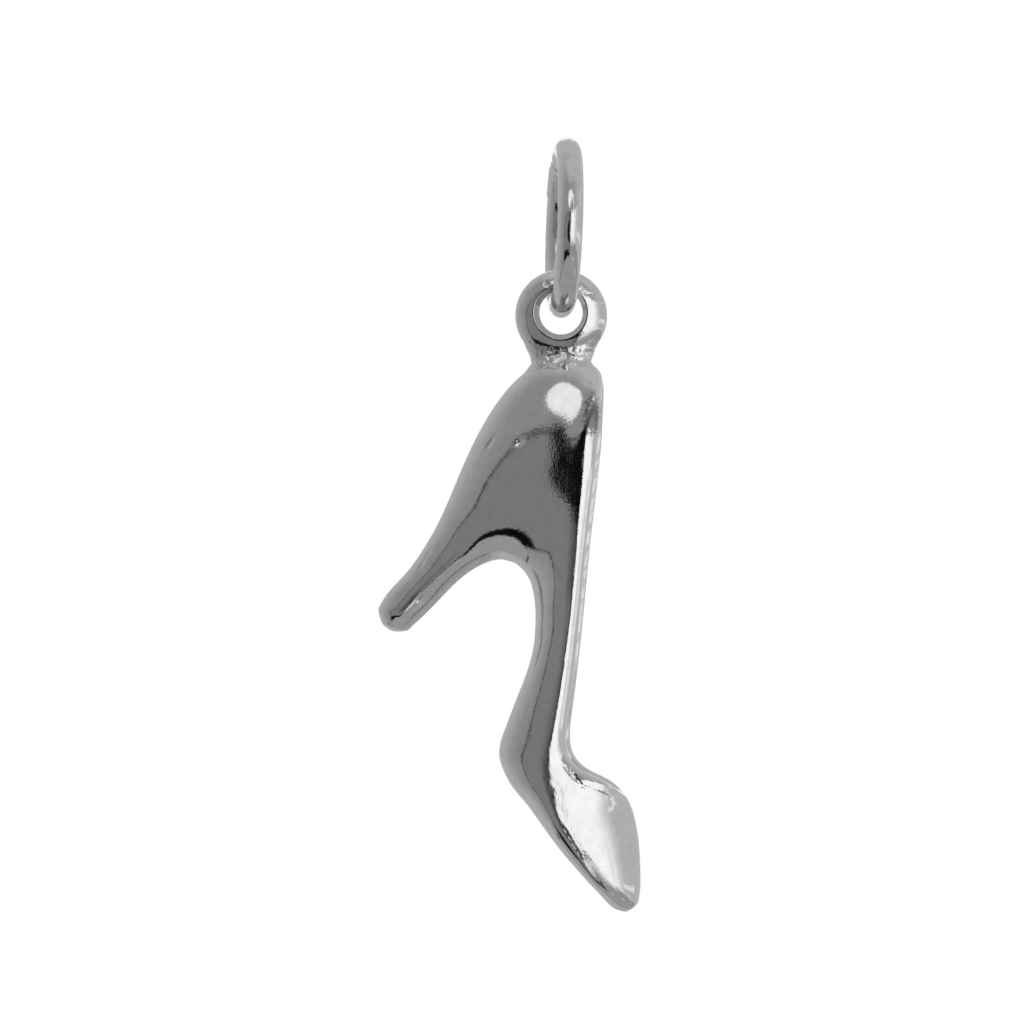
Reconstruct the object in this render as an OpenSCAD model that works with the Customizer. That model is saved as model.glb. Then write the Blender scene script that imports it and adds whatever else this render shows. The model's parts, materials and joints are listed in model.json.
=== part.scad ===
// High-heeled court shoe charm, hanging from an open jump ring.
// Front is -Y, up is +Z and millimetres are used throughout. The origin is the
// centre of the jump ring. The shoe hangs by the back of its heel counter, with
// its toe at the bottom and its heel to the left, and lies on both sides of Y = 0.

/* [Shoe casting] */
// Crown of the heel counter to the tip of the toe, along the hang
shoe_length = 15.35; // [13:0.05:18]
// Tip of the heel to the furthest edge of the toe, across the hang
shoe_spread = 7.25; // [6.2:0.05:8.4]
// Width over the ball of the foot
ball_width = 2.9; // [2.5:0.05:3.4]
// Width over the waist of the sole, ahead of the heel
waist_width = 2.45; // [2.05:0.05:2.85]
// Width over the heel counter
counter_width = 2.6; // [2.3:0.05:3]
// Width of the heel where it leaves the seat
heel_neck_width = 1.4; // [1.2:0.05:1.7]
// Width of the heel near its tip
heel_tip_width = 1.15; // [0.95:0.05:1.3]
// Width of the toe where its end starts to round
toe_width = 2; // [1.7:0.05:2.3]

/* [Foot opening] */
// Thickness of the wall at the rim of the opening
rim_wall = 0.3; // [0.22:0.02:0.4]
// Height of the rounded crest of the rim
rim_crest = 0.12; // [0.06:0.01:0.18]

/* [Hanging eye] */
// Outside diameter of the eye
eye_outer_d = 2.54; // [2.2:0.02:3]
// Thickness of the eye along its bore
eye_thickness = 0.86; // [0.7:0.02:1.1]
// Diameter of the bore at its narrowest
eye_bore_d = 1.2; // [1.16:0.02:1.4]
// Diameter of the countersunk mouth at each face
eye_mouth_d = 1.44; // [1.42:0.02:1.6]
// Length of the straight stretch in the middle of the bore
eye_land = 0.22; // [0.1:0.02:0.3]
// How far the bore sits above the middle of the eye's outside
eye_bore_rise = 0.08; // [0:0.01:0.12]
// How much is filed off the bottom of the eye to seat it
eye_seat_cut = 0.25; // [0.2:0.01:0.32]

/* [Solder joint] */
// Gap between the eye's seat and the crown of the counter, which solder fills
solder_gap = 0.04; // [0.02:0.01:0.08]
// Width of the neck of solder at its waist, seen from the front
neck_width = 1.67; // [1.4:0.01:1.8]
// How much the solder stands proud of the eye's faces
solder_skin = 0.02; // [0.01:0.01:0.06]
// How far the solder climbs the eye above its seat
solder_climb = 0.36; // [0.3:0.01:0.38]
// How far the solder runs down the counter below its crown
solder_run = 0.5; // [0.4:0.01:0.6]
// How far the solder flares out from its waist where it meets the eye
eye_flare = 0.26; // [0.2:0.01:0.3]
// How far the solder flares out from its waist where it meets the counter
counter_flare = 0.13; // [0.08:0.01:0.2]

/* [Jump ring] */
// Outside diameter of the jump ring
ring_outer_d = 5; // [4.6:0.1:6]
// Diameter of its wire
wire_d = 0.7; // [0.6:0.02:0.72]
// Angle that the ring is turned about the hang, from square to the eye
ring_twist = 8; // [-12:1:12]
// Angle that the top of the ring leans, in the side view
ring_lean = 2.2; // [-4:0.2:4]
// Gap at the cut in the wire
seam_gap = 0.05; // [0.02:0.01:0.12]
// Height of the cut above the middle of the ring, as an angle, at the back
seam_angle = 59; // [40:1:75]
// Gap between the wire and the top of the eye's bore
hang_clearance = 0.05; // [0.03:0.005:0.07]

/* [Hidden] */

silver = [0.78, 0.78, 0.79];
solder_silver = [0.7, 0.69, 0.68];

// The shoe hangs from the lowest point of the ring's wire, and each height down
// the hang follows from the one above it
ring_r = (ring_outer_d - wire_d) / 2;
hang_x = -ring_r * sin(ring_lean);
swing_z = -ring_r * cos(ring_lean);
bore_z = swing_z - (eye_bore_d / 2 - wire_d / 2 - hang_clearance);
eye_z = bore_z - eye_bore_rise;
seat_z = eye_z - eye_outer_d / 2 + eye_seat_cut;
crown_z = seat_z - solder_gap;

// One overrun serves every cut
overrun = eye_thickness;

// The shoe is a tube that starts at the heel's tip, runs up the heel, turns over
// the arch inside the counter and runs down the waist to the toe. Each station
// is a slice through it, from a point on the underside to one on the outside. A
// point is [across, down]: shares of the spread, from under the eye, and of the
// length, from the crown.
under_shares = [
    [-0.621, 0.498], [-0.585, 0.494], [-0.558, 0.485], [-0.523, 0.470], [-0.461, 0.440],
    [-0.400, 0.411], [-0.344, 0.390], [-0.293, 0.377], [-0.254, 0.371], [-0.223, 0.370],
    [-0.198, 0.373], [-0.177, 0.376], [-0.160, 0.382], [-0.145, 0.389], [-0.131, 0.398],
    [-0.118, 0.409], [-0.109, 0.423], [-0.102, 0.440], [-0.098, 0.458], [-0.097, 0.478],
    [-0.098, 0.500], [-0.104, 0.524], [-0.116, 0.550], [-0.134, 0.577], [-0.157, 0.605],
    [-0.183, 0.636], [-0.208, 0.667], [-0.230, 0.697], [-0.234, 0.726], [-0.214, 0.754],
    [-0.182, 0.780], [-0.136, 0.806], [-0.091, 0.835], [-0.045, 0.865], [0.002, 0.894],
    [0.053, 0.921], [0.106, 0.948], [0.152, 0.970], [0.186, 0.986], [0.208, 0.994],
    [0.229, 1.000]
];
out_shares = [
    [-0.651, 0.496], [-0.696, 0.476], [-0.698, 0.461], [-0.689, 0.449], [-0.654, 0.425],
    [-0.593, 0.394], [-0.531, 0.354], [-0.471, 0.305], [-0.421, 0.253], [-0.371, 0.197],
    [-0.312, 0.139], [-0.232, 0.079], [-0.133, 0.031], [0.004, 0.000], [0.118, 0.018],
    [0.160, 0.052], [0.151, 0.126], [0.139, 0.192], [0.124, 0.254], [0.109, 0.317],
    [0.096, 0.375], [0.085, 0.431], [0.074, 0.485], [0.062, 0.537], [0.050, 0.586],
    [0.037, 0.632], [0.026, 0.672], [0.027, 0.703], [0.043, 0.725], [0.075, 0.742],
    [0.122, 0.755], [0.177, 0.766], [0.227, 0.781], [0.263, 0.808], [0.286, 0.846],
    [0.298, 0.886], [0.302, 0.924], [0.301, 0.953], [0.295, 0.973], [0.283, 0.986],
    [0.255, 0.999]
];

// Stations, by number, at which the widths above are met, and the bow of each
// slice: where it is widest from underside to outside, how round its underside
// and its outside are, 1 being an ellipse and less being squarer, and how much it
// draws in from its widest towards each of them, as a slope
tip_end_share = 0.31;
toe_end_share = 0.22;
station_widths = [
    [0, tip_end_share * heel_tip_width], [1, 0.85 * heel_tip_width],
    [2.4, 0.97 * heel_tip_width], [4, heel_tip_width], [7, heel_neck_width],
    [10, 0.77 * counter_width], [13, 0.94 * counter_width], [15.5, counter_width],
    [18, counter_width], [21, waist_width], [23, waist_width], [25, 1.04 * waist_width],
    [27, 0.93 * ball_width], [29, 0.98 * ball_width], [31, ball_width],
    [33, 0.97 * ball_width], [35, 1.25 * toe_width], [36, 1.13 * toe_width],
    [37, toe_width], [38, 0.83 * toe_width], [39, 0.6 * toe_width],
    [40, toe_end_share * toe_width]
];
station_bow_shares = [
    [0, [0.5, 1, 1, 0, 0]], [3, [0.5, 1, 1, 0, 0]], [6, [0.45, 1, 1, 0, 0]],
    [9, [0.39, 0.9, 0.97, 0, 0]], [12, [0.39, 0.86, 0.97, 0, 0]],
    [14, [0.46, 0.82, 0.96, 0, 0]], [16, [0.66, 0.76, 0.95, 0.02, 0]],
    [18, [0.76, 0.7, 0.95, 0.06, 0]], [20, [0.83, 0.64, 0.97, 0.11, 0]],
    [22, [0.8, 0.6, 1, 0.14, 0]], [24, [0.8, 0.58, 1, 0.15, 0]],
    [26, [0.8, 0.58, 1, 0.15, 0]], [27, [0.76, 0.6, 1, 0.15, 0.02]],
    [28, [0.69, 0.62, 1, 0.15, 0.05]], [29, [0.58, 0.66, 0.98, 0.15, 0.07]],
    [30, [0.46, 0.7, 0.96, 0.13, 0.08]], [31, [0.34, 0.77, 0.94, 0.1, 0.08]],
    [32, [0.25, 0.84, 0.92, 0.05, 0.07]], [33, [0.19, 0.88, 0.91, 0.02, 0.05]],
    [35, [0.16, 0.9, 0.9, 0, 0.03]], [36, [0.17, 0.9, 0.9, 0, 0]],
    [37, [0.25, 0.9, 0.9, 0, 0]], [38, [0.35, 0.9, 0.9, 0, 0]], [40, [0.5, 0.9, 0.9, 0, 0]]
];

// Foot opening: where it starts at the back and ends at the throat, and how much
// each end takes to round off, as shares of the way from the heel's tip to the
// toe by stations. Then its depth and rim as shares of the slice and of its
// width, and how round the bowl is, as in the table above.
opening_back_share = 0.378;
opening_throat_share = 0.815;
back_round_share = 0.035;
throat_round_share = 0.075;
insole_depth_share = 0.27;
rim_spread_share = 0.72;
bowl_bow_share = 0.75;

// Fineness of the meshes: the rings to a station, which are more at the ends of
// the shoe and of its opening, and the points on each stretch of a half slice
plain_rings = 2;
fine_rings = 4;
fine_spans = [[0, 1], [14.5, 16.5], [30, 33], [39, 40]];
under_points = 6;
wall_points = 5;
crest_points = 3;
bowl_points = 4;
neck_rings = 10;
neck_points = 32;

// Waist of the solder, as a share of its height from the top, and how fast it
// flares towards the eye: 1 is a straight slope and 2 a round one
waist_share = 0.62;
fillet_power = 1.3;

function mix(a, b, t) = a + (b - a) * t;

// Value of a table of [place, value] rows at a place, eased between its rows
function row_at(table, place, i = 0) =
    i >= len(table) - 2 || place < table[i + 1][0] ? i : row_at(table, place, i + 1);
function slope(table, i) =
    i <= 0 || i >= len(table) - 1
        ? 0 * table[0][1]
        : (table[i + 1][1] - table[i - 1][1]) / (table[i + 1][0] - table[i - 1][0]);
function eased(table, place) =
    let (
        i = row_at(table, place),
        span = table[i + 1][0] - table[i][0],
        t = (place - table[i][0]) / span,
        u = 1 - t
    )
    table[i][1] * u * u * (1 + 2 * t) + slope(table, i) * span * u * u * t
    + table[i + 1][1] * t * t * (1 + 2 * u) - slope(table, i + 1) * span * t * t * u;

// Point of a smooth curve through a list of points, at a station number
function on_curve(points, place) =
    let (
        i = min(floor(place), len(points) - 2),
        t = place - i,
        a = points[max(i - 1, 0)],
        b = points[i],
        c = points[i + 1],
        d = points[min(i + 2, len(points) - 1)]
    )
    b + (t * (c - a) + t * t * (2 * a - 5 * b + 4 * c - d)
    + t * t * t * (3 * b - a - 3 * c + d)) / 2;

// Point of the side view as a place in the part, [x, z]
function placed(share) = [
    hang_x + share[0] * shoe_spread,
    crown_z - share[1] * shoe_length
];

// How open the shoe is at a station: 0 where it is closed and 1 along the
// opening, rounding off as an ellipse does at either end
function rounded_end(t) = t <= 0 ? 0 : t >= 1 ? 1 : sqrt(t * (2 - t));
function openness(place) =
    let (along = place / (len(under_shares) - 1))
    rounded_end((along - opening_back_share) / back_round_share)
    * rounded_end((opening_throat_share - along) / throat_round_share);

// Half a slice as [half width, share of the way out], from the underside's
// middle round to the outside's middle
function half_slice(place, span) =
    let (
        half_w = eased(station_widths, place) / 2,
        bow = eased(station_bow_shares, place),
        under_fall = bow[3] * bow[0] * span,
        out_fall = bow[4] * (1 - bow[0]) * span,
        open = openness(place),
        inside_w = open * max(rim_spread_share * half_w - rim_wall / 2, 0),
        outside_w = inside_w + min(1, 2 * open) * rim_wall,
        crest = min(1, 2 * open) * rim_crest / span,
        depth = max(open * insole_depth_share, crest)
    )
    concat(
        [for (i = [0 : under_points - 1])
            let (a = 90 * i / under_points, away = pow(cos(a), bow[1]))
            [(half_w - under_fall * away * away) * pow(sin(a), bow[1]), bow[0] * (1 - away)]],
        [for (i = [0 : wall_points - 1])
            let (a = 90 * i / wall_points, away = pow(sin(a), bow[2]))
            [
                mix(outside_w, half_w - out_fall * away, pow(cos(a), bow[2])),
                mix(bow[0], 1 - crest, away)
            ]],
        [for (i = [0 : crest_points - 1])
            let (a = 180 * i / crest_points)
            [
                mix(inside_w, outside_w, (1 + cos(a)) / 2),
                1 - crest + crest * sin(a)
            ]],
        [for (i = [0 : bowl_points])
            let (a = 90 * i / bowl_points)
            [
                inside_w * pow(cos(a), bowl_bow_share),
                1 - mix(crest, depth, pow(sin(a), bowl_bow_share))
            ]]
    );

// Whole slice as a ring of points
function slice(place) =
    let (
        under = placed(on_curve(under_shares, place)),
        out = placed(on_curve(out_shares, place)),
        half = half_slice(place, norm(out - under)),
        last = len(half) - 1,
        ring = concat(half, [for (i = [last - 1 : -1 : 1]) [-half[i][0], half[i][1]]])
    )
    [for (p = ring)
        let (at = mix(under, out, p[1]))
        [at[0], -p[0], at[1]]];

// Closed skin over a stack of rings that all have the same number of points
module loft(rings) {
    n = len(rings[0]);
    last = len(rings) - 1;
    points = [for (r = rings) for (p = r) p];
    skin = [for (r = [0 : last - 1]) for (i = [0 : n - 1])
        let (
            a = r * n + i,
            b = r * n + (i + 1) % n,
            c = a + n,
            d = b + n
        )
        each [[a, b, d], [a, d, c]]];
    middle = [for (r = [rings[0], rings[last]]) [for (k = [0 : 2]) sum(r, k) / n]];
    first_cap = [for (i = [0 : n - 1]) [len(points), (i + 1) % n, i]];
    last_cap = [for (i = [0 : n - 1])
        [len(points) + 1, last * n + i, last * n + (i + 1) % n]];
    polyhedron(points = concat(points, middle), faces = concat(skin, first_cap, last_cap));
}
function sum(points, k, i = 0) = i >= len(points) ? 0 : points[i][k] + sum(points, k, i + 1);

// The cast shoe: heel, counter, waist, vamp and toe in one piece of metal
function is_fine(place) = len([for (s = fine_spans) if (place > s[0] && place < s[1]) s]) > 0;
module shoe_casting() {
    last = len(under_shares) - 1;
    places = [for (i = [0 : last * fine_rings])
        let (place = i / fine_rings)
        if (is_fine(place) || place * plain_rings == floor(place * plain_rings)) place];
    color(silver) loft([for (place = places) slice(place)]);
}

// The eye: a round-edged ring with a countersunk bore, filed flat where it sits
module hanging_eye() {
    round_r = eye_thickness / 2;
    round_x = eye_outer_d / 2 - round_r;
    sink = (eye_thickness - eye_land) / 2;
    color(silver)
    difference() {
        translate([hang_x, 0, eye_z])
        rotate([90, 0, 0])
        rotate_extrude($fn = 96)
        union() {
            translate([round_x, 0]) circle(r = round_r, $fn = 48);
            translate([0, -round_r]) square([round_x, eye_thickness]);
        }
        translate([hang_x, 0, bore_z])
        rotate([90, 0, 0]) {
            cylinder(d = eye_bore_d, h = eye_thickness + overrun, center = true, $fn = 64);
            for (side = [0, 180])
                rotate([side, 0, 0])
                translate([0, 0, eye_land / 2])
                cylinder(d1 = eye_bore_d, d2 = eye_mouth_d, h = sink, $fn = 64);
        }
        translate([hang_x, 0, seat_z - overrun / 2])
        cube([eye_outer_d, eye_thickness + overrun, overrun], center = true);
    }
}

// The solder: a collar that fills the corner under the eye, draws in to a waist
// and spreads over the counter's crown
module solder_joint() {
    top = seat_z + solder_climb;
    bottom = crown_z - solder_run;
    rings = [for (k = [0 : neck_rings])
        let (
            t = k / neck_rings,
            above = max(0, 1 - t / waist_share),
            below = max(0, (t - waist_share) / (1 - waist_share)),
            spread = counter_flare * below * below,
            half_w = neck_width / 2 + eye_flare * pow(above, fillet_power) + spread,
            half_d = eye_thickness / 2 + solder_skin + spread
        )
        [for (i = [0 : neck_points - 1])
            let (a = 360 * i / neck_points)
            [hang_x + half_w * cos(a), half_d * sin(a), mix(top, bottom, t)]]];
    color(solder_silver) loft(rings);
}

// The jump ring: round wire, bent round and closed, with its cut at the back
module jump_ring() {
    seam = 360 * seam_gap / (2 * PI * ring_r);
    color(silver)
    rotate([0, ring_lean, 0])
    rotate([0, 0, ring_twist])
    rotate([0, 90, 0])
    rotate([0, 0, 90 + seam_angle + seam / 2])
    rotate_extrude(angle = 360 - seam, $fn = 128)
    translate([ring_r, 0])
    circle(d = wire_d, $fn = 48);
}

shoe_casting();
hanging_eye();
solder_joint();
jump_ring();
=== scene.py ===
# %% [markdown]
# # A shoe charm in polished silver
#
# This lesson dresses a imported CAD part in Blender. The part is a small charm in
# the form of a high-heeled court shoe. It hangs toe down from a jump ring, by an
# eye soldered to the back of its heel. The CAD solids are the frame: they say
# where each piece is and how it moves, and the pieces made here follow them.
#
# Each piece takes the place of one CAD solid and rides on its body, so the charm
# still swings. The last cell prints the CAD's box.

# %% The frame
import json
import math

import bmesh
import bpy
import numpy as np
from mathutils import Matrix, Vector, noise
from mathutils.bvhtree import BVHTree


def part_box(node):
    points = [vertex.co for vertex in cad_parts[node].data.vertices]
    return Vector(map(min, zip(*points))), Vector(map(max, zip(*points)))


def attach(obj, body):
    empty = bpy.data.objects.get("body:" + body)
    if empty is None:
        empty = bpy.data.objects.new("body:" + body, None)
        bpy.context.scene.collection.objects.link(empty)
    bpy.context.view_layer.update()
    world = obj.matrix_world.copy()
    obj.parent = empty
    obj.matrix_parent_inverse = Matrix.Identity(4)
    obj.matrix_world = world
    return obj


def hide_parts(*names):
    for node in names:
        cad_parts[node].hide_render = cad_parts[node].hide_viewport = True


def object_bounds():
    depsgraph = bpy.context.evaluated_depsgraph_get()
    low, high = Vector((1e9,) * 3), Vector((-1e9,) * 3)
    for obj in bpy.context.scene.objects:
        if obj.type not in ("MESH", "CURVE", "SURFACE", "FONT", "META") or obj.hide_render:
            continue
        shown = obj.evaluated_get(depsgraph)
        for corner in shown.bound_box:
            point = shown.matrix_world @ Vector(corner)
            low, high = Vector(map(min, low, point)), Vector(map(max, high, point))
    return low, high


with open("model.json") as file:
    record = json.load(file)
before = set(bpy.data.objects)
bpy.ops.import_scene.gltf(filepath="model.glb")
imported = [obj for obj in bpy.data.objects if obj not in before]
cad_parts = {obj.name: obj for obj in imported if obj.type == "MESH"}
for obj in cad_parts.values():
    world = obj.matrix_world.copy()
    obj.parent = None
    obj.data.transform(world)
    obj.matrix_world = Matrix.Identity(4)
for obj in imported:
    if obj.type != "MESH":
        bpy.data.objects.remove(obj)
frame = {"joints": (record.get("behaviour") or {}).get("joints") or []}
cad_low, cad_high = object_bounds()

# %% [markdown]
# ## Soft ramps
#
# On a polished piece nothing starts or stops at a line: a width, a hollow or a
# shade comes on softly. A straight ramp would leave a crease at both ends, which
# polished metal shows. So one short function, level at both ends, makes every
# ramp here, and a second one mixes two values by its share.

# %% Soft ramps
def soft_step(t):
    """A share from 0 to 1 that starts and ends level."""
    t = min(max(t, 0), 1)
    return t * t * (3 - 2 * t)


def mix(a, b, t):
    """The value at a share of the way from a to b."""
    return a + (b - a) * t


print("the soft ramp at a quarter:", soft_step(0.25))

# %% [markdown]
# ## The driving sizes
#
# The real charm is a few millimetres of metal and Blender works in metres, so one
# name stands for a millimetre. Sizes could be typed again here, but then the two
# models might drift apart, so they are read from the frame. The jump ring is
# centred on the origin, and the shoe hangs below it.

# %% The driving sizes
MM = 0.001

eye_low, eye_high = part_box("hanging_eye")
shoe_low, shoe_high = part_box("shoe_casting")
solder_low, solder_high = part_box("solder_joint")

swing = next(j for j in frame["joints"] if j["name"] == "charm_swing")
hang_x = swing["pos_m"][0]
crown_z = shoe_high.z
shoe_length = crown_z - shoe_low.z
shoe_spread = 7.25 * MM
print("the shoe is", round(shoe_length / MM, 2), "mm long")
print("the solder is", round((solder_high.z - solder_low.z) / MM, 2), "mm tall")

# %% [markdown]
# ## The camera
#
# A small object is photographed from far away with a long lens, so that it is
# drawn almost without perspective, and each pixel of the photograph covers the
# same small piece of the charm. An orthographic camera would come close too, but
# the long lens keeps the slight perspective of a real one. The camera is level with
# the middle of the picture, a few degrees to the right of square on.
#
# From here on a mark on the charm can be given by its pixel.

# %% The camera
PIXEL = 0.0276 * MM
PICTURE = 1024
HANG_PIXEL = (564.2, 227.5)

camera_turn = math.radians(4)
camera_far = 230 * MM
to_right = Vector((math.cos(camera_turn), math.sin(camera_turn), 0))
to_camera = Vector((math.sin(camera_turn), -math.cos(camera_turn), 0))


def at_pixel(px, py, forward=0):
    """The point that a pixel shows, so far in front of the hang line."""
    across = (px - HANG_PIXEL[0]) * PIXEL
    down = (py - HANG_PIXEL[1]) * PIXEL
    return to_right * across - Vector((0, 0, down)) + to_camera * forward


camera_data = bpy.data.cameras.new("camera")
camera_data.lens = camera_data.sensor_width * camera_far / (PICTURE * PIXEL)
camera_data.clip_start = 0.1 * camera_far
camera_data.clip_end = 100 * camera_far
camera = bpy.data.objects.new("camera", camera_data)
camera.location = at_pixel(PICTURE / 2, PICTURE / 2, camera_far)
camera.rotation_euler = (math.radians(90), 0, camera_turn)
bpy.context.scene.collection.objects.link(camera)
bpy.context.scene.camera = camera
print("lens", round(camera_data.lens), "mm at", round(camera_far / MM), "mm")

# %% [markdown]
# ## The studio
#
# Polished metal has no colour of its own that the eye can see: it shows the room.
# So most of the work on its looks is the room. A jeweller's photographer stands
# cards round the piece, and the metal shows them as bands. A picture of a room
# wrapped round the scene could do the same, but its bands couldn't be moved one by
# one. So there are cards here too, which glow a little and are hidden from the
# camera. Each corner of a card carries its own shade, so one material serves them
# all, and a card can fade.

# %% The glow of the cards
def card_glow():
    """A material that glows as much as the shade stored on the card."""
    made = bpy.data.materials.new("card_glow")
    made.use_nodes = True
    nodes, links = made.node_tree.nodes, made.node_tree.links
    nodes.clear()
    shade = nodes.new("ShaderNodeAttribute")
    shade.attribute_name = "shade"
    glow = nodes.new("ShaderNodeEmission")
    glow.inputs["Strength"].default_value = 1
    out = nodes.new("ShaderNodeOutputMaterial")
    links.new(shade.outputs["Fac"], glow.inputs["Color"])
    links.new(glow.outputs[0], out.inputs["Surface"])
    return made


studio_glow = card_glow()
print("the cards' material:", studio_glow.name)

# %% [markdown]
# ### A card, by its directions
#
# Where a band shows on the charm depends on the direction in which the metal
# looks, and hardly on how far off the card is. So the outline of a card is given
# in degrees, to the right of the camera and up, seen from the middle of the charm.
# It is filled flat, cut finely and bent round that middle like a piece of a dome,
# which keeps each edge in its direction. A nearer card covers a farther one, so
# cards may overlap.

# %% A card, by its directions
CARD_FAR = 500 * MM
middle = Vector((0, 0, (cad_low.z + cad_high.z) / 2))


def new_object(name, bm):
    """A finished bmesh as an object of the scene."""
    mesh = bpy.data.meshes.new(name)
    bm.to_mesh(mesh)
    bm.free()
    made = bpy.data.objects.new(name, mesh)
    bpy.context.scene.collection.objects.link(made)
    return made


def sky_point(turn, rise, far, centre):
    """The point seen from a centre, at degrees right of the camera and degrees up."""
    a = math.radians(turn) + camera_turn
    e = math.radians(rise)
    way = Vector((math.sin(a) * math.cos(e), -math.cos(a) * math.cos(e), math.sin(e)))
    return centre + way * far


def block(left, right, low, high):
    """The outline of a card that fills a range of directions."""
    return [(left, low), (right, low), (right, high), (left, high)]


def card(name, outline, level, far=CARD_FAR, cuts=5, centre=middle):
    """A curved card. Its level is a number, or a function of the direction."""
    bm = bmesh.new()
    corners = bmesh.ops.create_circle(bm, cap_ends=True, segments=len(outline), radius=1)
    for v, (turn, rise) in zip(corners["verts"], outline):
        v.co = (turn, rise, 0)
    bmesh.ops.triangulate(bm, faces=bm.faces)
    bmesh.ops.subdivide_edges(bm, edges=bm.edges, cuts=cuts, use_grid_fill=True)
    shade = bm.verts.layers.float.new("shade")
    for v in bm.verts:
        v[shade] = level(v.co.x, v.co.y) if callable(level) else level
        v.co = sky_point(v.co.x, v.co.y, far, centre)
    made = new_object(name, bm)
    made.data.materials.append(studio_glow)
    made.visible_camera = made.visible_diffuse = False
    print("card", name, "at", round(far / MM), "mm")


# %% [markdown]
# ### The world
#
# Behind the charm the photograph is plain white, as on lit paper. A backdrop could
# stand there, but a white world gives the same even white from every side, and it
# lights the floor. The metal hardly sees it, because the cards close nearly every
# direction. The view transform is Standard, so that a colour renders as written.

# %% The world
world = bpy.data.worlds.new("studio")
bpy.context.scene.world = world
world.use_nodes = True
sky = world.node_tree.nodes["Background"]
sky.inputs["Color"].default_value = (1, 1, 1, 1)
sky.inputs["Strength"].default_value = 1
bpy.context.scene.view_settings.view_transform = "Standard"
print("the world's strength:", sky.inputs["Strength"].default_value)

# %% [markdown]
# ### The cards in front
#
# The camera's side of the room is dark, and most of the shoe looks that way: the
# counter, heel and waist show one broad grey, edged by thin black lines. These are
# gaps, where the metal sees an unlit wall, so a black flag stands behind the grey
# card. The black patch on the counter is something dark that stood close by. Far
# off it would also darken the waist, so its flag stands 25 mm away.

# %% The cards in front
BLACK = 0.004
FRONT_GREY, FRONT_DARK = 0.23, 0.06


def front_level(turn, rise):
    """Mid grey, and darker near the card's right edge."""
    dark = soft_step((turn + 18) / 18) * soft_step((rise + 16) / 6)
    return mix(FRONT_GREY, FRONT_DARK, dark)


card("back_flag", block(-112, 12, -52, 24), BLACK, far=540 * MM)
card("front_card", [
    (-50, -24), (-44, -26), (-31, -26), (-20, -27), (-2, -31), (4, -31), (4, -14),
    (1, -8), (1, 4), (3, 8), (3, 17), (-14, 16.5), (-26, 15.5), (-40, 12), (-47, 6),
    (-50, -2),
], front_level, cuts=11)
card("camera_flag", [
    (-2, -7), (5, -7), (5, 25), (-14, 24), (-19, 20), (-20.5, 12), (-20, 3),
    (-17, -1.6), (-11, -4),
], BLACK, far=25 * MM, centre=at_pixel(570, 470, 1.2 * MM))

# %% [markdown]
# ### The grey cards round the charm
#
# To the left, above, behind and below the metal shows greys that change slowly:
# walls, a ceiling, a table. One big sphere with a ramp could stand for them, but
# separate cards let each part of the shoe be set by itself: the left card lights
# the heel's edge, and the high one the crown of the counter.

# %% The grey cards round the charm
LEFT_GREY, LEFT_PALE = 0.28, 0.5
HIGH_GREY, OVERHEAD, LOW_BACK, BELOW = 0.29, 0.52, 0.45, 0.36


def left_level(turn, rise):
    """Mid grey, and lighter round the charm's left side."""
    return mix(LEFT_GREY, LEFT_PALE, soft_step((-turn - 35) / 110))


def high_level(turn, rise):
    """Darkest just above the lamp, and lighter overhead and round both sides."""
    round_side = max(soft_step((turn - 10) / 70), soft_step((-turn - 50) / 90))
    return mix(HIGH_GREY, OVERHEAD, max(round_side, soft_step((rise - 46) / 22)))


card("left_card", [
    (-110, -36), (-52, -36), (-52, -2), (-49, 7), (-41, 13.2), (-27, 16.9), (-14, 17.8),
    (-14, 30), (-110, 30),
], left_level)
card("far_left_card", block(-168, -108, -75, 80), left_level)
card("high_card", block(-112, 168, 18, 82), high_level, far=510 * MM)
card("zenith_card", block(-180, 180, 80, 90), OVERHEAD, far=520 * MM)
card("high_back_card", block(168, 248, 30, 82), OVERHEAD)
card("low_back_card", block(168, 248, -82, -8), LOW_BACK)
card("low_card", block(-112, 168, -82, -36), BELOW)
card("nadir_card", block(-180, 180, -90, -80), BELOW, far=520 * MM)

# %% [markdown]
# ### The bright cards on the right
#
# A softbox stands to the right of the camera. It draws the long white band down
# the shoe's right edge and the bright flats of the toe. An area light could stand
# there, but a card's outline can be bent until its band has the photograph's
# shape. Below it another card fades to grey, so that the toe darkens softly.

# %% The bright cards on the right
SOFTBOX_WHITE, SOFTBOX_GREY = 1.15, 0.54
LOW_RIGHT_GREY, LOW_RIGHT_PALE = 0.34, 0.95
STRIP_PALE = 0.9


def right_level(turn, rise):
    """White, and falling to grey round the charm's right side."""
    return mix(SOFTBOX_WHITE, SOFTBOX_GREY, soft_step((turn - 25) / 42))


def low_right_level(turn, rise):
    """Grey, and lighter up towards the softbox."""
    pale = soft_step((rise + 26) / 12) * (1 - soft_step((turn - 25) / 35))
    return mix(LOW_RIGHT_GREY, LOW_RIGHT_PALE, pale)


card("low_right_card", [
    (6.5, -37), (168, -37), (168, -19), (57, -19), (20, -17), (9, -15), (6.5, -14),
], low_right_level, cuts=15)
card("softbox", [
    (6, -11), (9, -13), (20, -15), (57, -17), (57, 17), (30, 17), (30, 40), (8, 40),
    (3, 12), (3, -5),
], right_level, cuts=11)
card("right_card", block(56.5, 168, -18, 18), right_level, cuts=11)
card("strip_card", block(58, 114, -9.5, -4.5), STRIP_PALE, far=490 * MM)

# %% [markdown]
# ### The round lamp
#
# High on the counter sits one bright round patch: a lamp above the camera. The
# skin there bends more one way than the other and squeezes the lamp's image, so
# its card is wider than it is high. It stands in front of all the others.

# %% The round lamp
LAMP_WHITE = 1.0

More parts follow.
